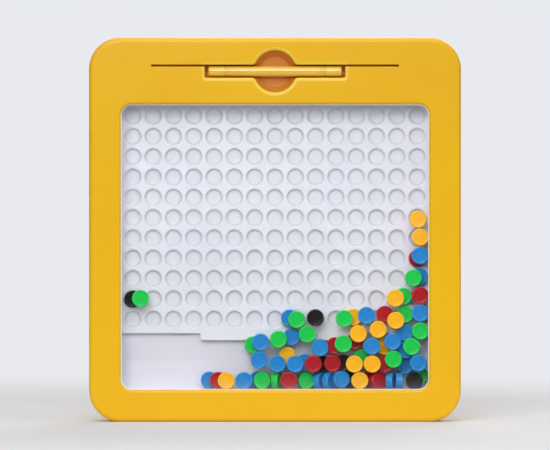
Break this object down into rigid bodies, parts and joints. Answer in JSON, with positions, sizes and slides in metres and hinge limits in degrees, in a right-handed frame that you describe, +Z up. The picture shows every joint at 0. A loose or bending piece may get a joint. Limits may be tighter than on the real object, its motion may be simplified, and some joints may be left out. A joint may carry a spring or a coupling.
{
  "type": "magnetic bead drawing board",
  "caption": "Upright magnetic bead drawing board: clear-fronted case, dimpled plate, gutter of loose disc beads and a magnet pen in a recess above the window.",
  "frame": {"origin": "centre of the footprint at the bottom edge the board stands on", "axes": "+Z up the board, -Y out of the clear front, +X to the right as seen from the front"},
  "size_m": [0.31, 0.028, 0.32],
  "materials": {
    "yellow_case": "satin gloss moulded",
    "yellow_pen": "gloss moulded",
    "clear_window": "clear polished sheet",
    "white_plate": "satin formed sheet",
    "white_tray": "satin moulded",
    "screw_steel": "zinc plated",
    "magnet_plating": "nickel plated",
    "bead_green": "gloss moulded",
    "bead_blue": "gloss moulded",
    "bead_yellow": "gloss moulded",
    "bead_red": "gloss moulded",
    "bead_black": "gloss moulded"
  },
  "bodies": {
    "case": {"front_frame": "yellow_case", "back_cover": "yellow_case", "clear_window": "clear_window", "grid_plate": "white_plate", "bead_tray": "white_tray", "screw_1": "screw_steel", "screw_2": "screw_steel", "screw_3": "screw_steel", "screw_4": "screw_steel", "screw_5": "screw_steel", "screw_6": "screw_steel"},
    "pen": {"pen_barrel": "yellow_pen", "pen_tip_cap": "yellow_pen", "pen_end_cap": "yellow_pen", "pen_magnet": "magnet_plating"},
    "bead_black_seated_1": {"bead_black_seated_1": "bead_black"},
    "bead_red_seated_2": {"bead_red_seated_2": "bead_red"},
    "bead_yellow_01": {"bead_yellow_01": "bead_yellow"},
    "bead_yellow_02": {"bead_yellow_02": "bead_yellow"},
    "bead_blue_03": {"bead_blue_03": "bead_blue"},
    "bead_blue_04": {"bead_blue_04": "bead_blue"},
    "bead_green_05": {"bead_green_05": "bead_green"},
    "bead_red_06": {"bead_red_06": "bead_red"},
    "bead_green_07": {"bead_green_07": "bead_green"},
    "bead_yellow_08": {"bead_yellow_08": "bead_yellow"},
    "bead_blue_09": {"bead_blue_09": "bead_blue"},
    "bead_green_10": {"bead_green_10": "bead_green"},
    "bead_yellow_11": {"bead_yellow_11": "bead_yellow"},
    "bead_red_12": {"bead_red_12": "bead_red"},
    "bead_blue_13": {"bead_blue_13": "bead_blue"},
    "bead_yellow_14": {"bead_yellow_14": "bead_yellow"},
    "bead_green_15": {"bead_green_15": "bead_green"},
    "bead_black_16": {"bead_black_16": "bead_black"},
    "bead_green_17": {"bead_green_17": "bead_green"},
    "bead_blue_18": {"bead_blue_18": "bead_blue"},
    "bead_green_19": {"bead_green_19": "bead_green"},
    "bead_blue_20": {"bead_blue_20": "bead_blue"},
    "bead_yellow_21": {"bead_yellow_21": "bead_yellow"},
    "bead_yellow_22": {"bead_yellow_22": "bead_yellow"},
    "bead_green_23": {"bead_green_23": "bead_green"},
    "bead_blue_24": {"bead_blue_24": "bead_blue"},
    "bead_green_25": {"bead_green_25": "bead_green"},
    "bead_blue_26": {"bead_blue_26": "bead_blue"},
    "bead_green_27": {"bead_green_27": "bead_green"},
    "bead_green_28": {"bead_green_28": "bead_green"},
    "bead_blue_29": {"bead_blue_29": "bead_blue"},
    "bead_blue_30": {"bead_blue_30": "bead_blue"},
    "bead_green_31": {"bead_green_31": "bead_green"},
    "bead_blue_32": {"bead_blue_32": "bead_blue"},
    "bead_yellow_33": {"bead_yellow_33": "bead_yellow"},
    "bead_blue_34": {"bead_blue_34": "bead_blue"},
    "bead_blue_35": {"bead_blue_35": "bead_blue"},
    "bead_green_36": {"bead_green_36": "bead_green"},
    "bead_yellow_37": {"bead_yellow_37": "bead_yellow"},
    "bead_yellow_38": {"bead_yellow_38": "bead_yellow"},
    "bead_red_39": {"bead_red_39": "bead_red"},
    "bead_blue_40": {"bead_blue_40": "bead_blue"},
    "bead_blue_41": {"bead_blue_41": "bead_blue"},
    "bead_blue_42": {"bead_blue_42": "bead_blue"},
    "bead_green_43": {"bead_green_43": "bead_green"}
  },
  "joints": [
    {"name": "pen_lift", "type": "slide", "parent": "case", "child": "pen", "axis": [0, -1, 0], "range_m": [0, 0.06]},
    {"name": "bead_black_seated_1_slide", "type": "slide", "parent": "case", "child": "bead_black_seated_1", "axis": [0, -1, 0], "range_m": [0, 0.002]},
    {"name": "bead_red_seated_2_slide", "type": "slide", "parent": "case", "child": "bead_red_seated_2", "axis": [0, -1, 0], "range_m": [0, 0.002]},
    {"name": "bead_yellow_01_slide", "type": "slide", "parent": "case", "child": "bead_yellow_01", "axis": [0, 0, 1], "range_m": [0, 0.089]},
    {"name": "bead_yellow_02_slide", "type": "slide", "parent": "case", "child": "bead_yellow_02", "axis": [0, 0, 1], "range_m": [0, 0.00075]},
    {"name": "bead_blue_03_slide", "type": "slide", "parent": "case", "child": "bead_blue_03", "axis": [-0.9659, 0, 0.2588], "range_m": [0, 0.24]},
    {"name": "bead_blue_04_slide", "type": "slide", "parent": "case", "child": "bead_blue_04", "axis": [-0.9659, 0, 0.2588], "range_m": [0, 0.24]},
    {"name": "bead_green_05_slide", "type": "slide", "parent": "case", "child": "bead_green_05", "axis": [-0.7071, 0, 0.7071], "range_m": [0, 0.195]},
    {"name": "bead_red_06_slide", "type": "slide", "parent": "case", "child": "bead_red_06", "axis": [0.2588, 0, 0.9659], "range_m": [0, 0.0015]},
    {"name": "bead_green_07_slide", "type": "slide", "parent": "case", "child": "bead_green_07", "axis": [-0.2588, 0, 0.9659], "range_m": [0, 0.1585]},
    {"name": "bead_yellow_08_slide", "type": "slide", "parent": "case", "child": "bead_yellow_08", "axis": [0, 0, 1], "range_m": [0, 0.155]},
    {"name": "bead_blue_09_slide", "type": "slide", "parent": "case", "child": "bead_blue_09", "axis": [-0.9659, 0, 0.2588], "range_m": [0, 0.009]},
    {"name": "bead_green_10_slide", "type": "slide", "parent": "case", "child": "bead_green_10", "axis": [0.9659, 0, 0.2588], "range_m": [0, 0.0135]},
    {"name": "bead_yellow_11_slide", "type": "slide", "parent": "case", "child": "bead_yellow_11", "axis": [-0.7071, 0, 0.7071], "range_m": [0, 0.007]},
    {"name": "bead_red_12_slide", "type": "slide", "parent": "case", "child": "bead_red_12", "axis": [0, 0, 1], "range_m": [0, 0.168]},
    {"name": "bead_blue_13_slide", "type": "slide", "parent": "case", "child": "bead_blue_13", "axis": [0, 0, 1], "range_m": [0, 0.169]},
    {"name": "bead_yellow_14_slide", "type": "slide", "parent": "case", "child": "bead_yellow_14", "axis": [0, 0, 1], "range_m": [0, 0.156]},
    {"name": "bead_green_15_slide", "type": "slide", "parent": "case", "child": "bead_green_15", "axis": [0, 0, 1], "range_m": [0, 0.1715]},
    {"name": "bead_black_16_slide", "type": "slide", "parent": "case", "child": "bead_black_16", "axis": [0, 0, 1], "range_m": [0, 0.171]},
    {"name": "bead_green_17_slide", "type": "slide", "parent": "case", "child": "bead_green_17", "axis": [0, 0, 1], "range_m": [0, 0.1725]},
    {"name": "bead_blue_18_slide", "type": "slide", "parent": "case", "child": "bead_blue_18", "axis": [0, 0, 1], "range_m": [0, 0.1715]},
    {"name": "bead_green_19_slide", "type": "slide", "parent": "case", "child": "bead_green_19", "axis": [-0.9659, 0, 0.2588], "range_m": [0, 0.008]},
    {"name": "bead_blue_20_slide", "type": "slide", "parent": "case", "child": "bead_blue_20", "axis": [0.9659, 0, 0.2588], "range_m": [0, 0.013]},
    {"name": "bead_yellow_21_slide", "type": "slide", "parent": "case", "child": "bead_yellow_21", "axis": [0.2588, 0, 0.9659], "range_m": [0, 0.0015]},
    {"name": "bead_yellow_22_slide", "type": "slide", "parent": "case", "child": "bead_yellow_22", "axis": [-0.2588, 0, 0.9659], "range_m": [0, 0.00275]},
    {"name": "bead_green_23_slide", "type": "slide", "parent": "case", "child": "bead_green_23", "axis": [0, 0, 1], "range_m": [0, 0.00075]},
    {"name": "bead_blue_24_slide", "type": "slide", "parent": "case", "child": "bead_blue_24", "axis": [0.866, 0, 0.5], "range_m": [0, 0.044]},
    {"name": "bead_green_25_slide", "type": "slide", "parent": "case", "child": "bead_green_25", "axis": [0, 0, 1], "range_m": [0, 0.189]},
    {"name": "bead_blue_26_slide", "type": "slide", "parent": "case", "child": "bead_blue_26", "axis": [0, 0, 1], "range_m": [0, 0.1815]},
    {"name": "bead_green_27_slide", "type": "slide", "parent": "case", "child": "bead_green_27", "axis": [0, 0, 1], "range_m": [0, 0.1935]},
    {"name": "bead_green_28_slide", "type": "slide", "parent": "case", "child": "bead_green_28", "axis": [-0.9659, 0, 0.2588], "range_m": [0, 0.002]},
    {"name": "bead_blue_29_slide", "type": "slide", "parent": "case", "child": "bead_blue_29", "axis": [0.2588, 0, 0.9659], "range_m": [0, 0.0035]},
    {"name": "bead_blue_30_slide", "type": "slide", "parent": "case", "child": "bead_blue_30", "axis": [-0.2588, 0, 0.9659], "range_m": [0, 0.00075]},
    {"name": "bead_green_31_slide", "type": "slide", "parent": "case", "child": "bead_green_31", "axis": [-0.7071, 0, 0.7071], "range_m": [0, 0.0175]},
    {"name": "bead_blue_32_slide", "type": "slide", "parent": "case", "child": "bead_blue_32", "axis": [0.866, 0, 0.5], "range_m": [0, 0.0035]},
    {"name": "bead_yellow_33_slide", "type": "slide", "parent": "case", "child": "bead_yellow_33", "axis": [-0.866, 0, 0.5], "range_m": [0, 0.0105]},
    {"name": "bead_blue_34_slide", "type": "slide", "parent": "case", "child": "bead_blue_34", "axis": [-0.9659, 0, 0.2588], "range_m": [0, 0.1125]},
    {"name": "bead_blue_35_slide", "type": "slide", "parent": "case", "child": "bead_blue_35", "axis": [0.866, 0, 0.5], "range_m": [0, 0.002]},
    {"name": "bead_green_36_slide", "type": "slide", "parent": "case", "child": "bead_green_36", "axis": [0.9659, 0, 0.2588], "range_m": [0, 0.00325]},
    {"name": "bead_yellow_37_slide", "type": "slide", "parent": "case", "child": "bead_yellow_37", "axis": [0.9659, 0, 0.2588], "range_m": [0, 0.00375]},
    {"name": "bead_yellow_38_slide", "type": "slide", "parent": "case", "child": "bead_yellow_38", "axis": [0.2588, 0, 0.9659], "range_m": [0, 0.0065]},
    {"name": "bead_red_39_slide", "type": "slide", "parent": "case", "child": "bead_red_39", "axis": [-0.2588, 0, 0.9659], "range_m": [0, 0.00075]},
    {"name": "bead_blue_40_slide", "type": "slide", "parent": "case", "child": "bead_blue_40", "axis": [0.9659, 0, 0.2588], "range_m": [0, 0.00125]},
    {"name": "bead_blue_41_slide", "type": "slide", "parent": "case", "child": "bead_blue_41", "axis": [0, 0, 1], "range_m": [0, 0.0145]},
    {"name": "bead_blue_42_slide", "type": "slide", "parent": "case", "child": "bead_blue_42", "axis": [0, 0, 1], "range_m": [0, 0.006]},
    {"name": "bead_green_43_slide", "type": "slide", "parent": "case", "child": "bead_green_43", "axis": [0, 0, 1], "range_m": [0, 0.155]}
  ]
}
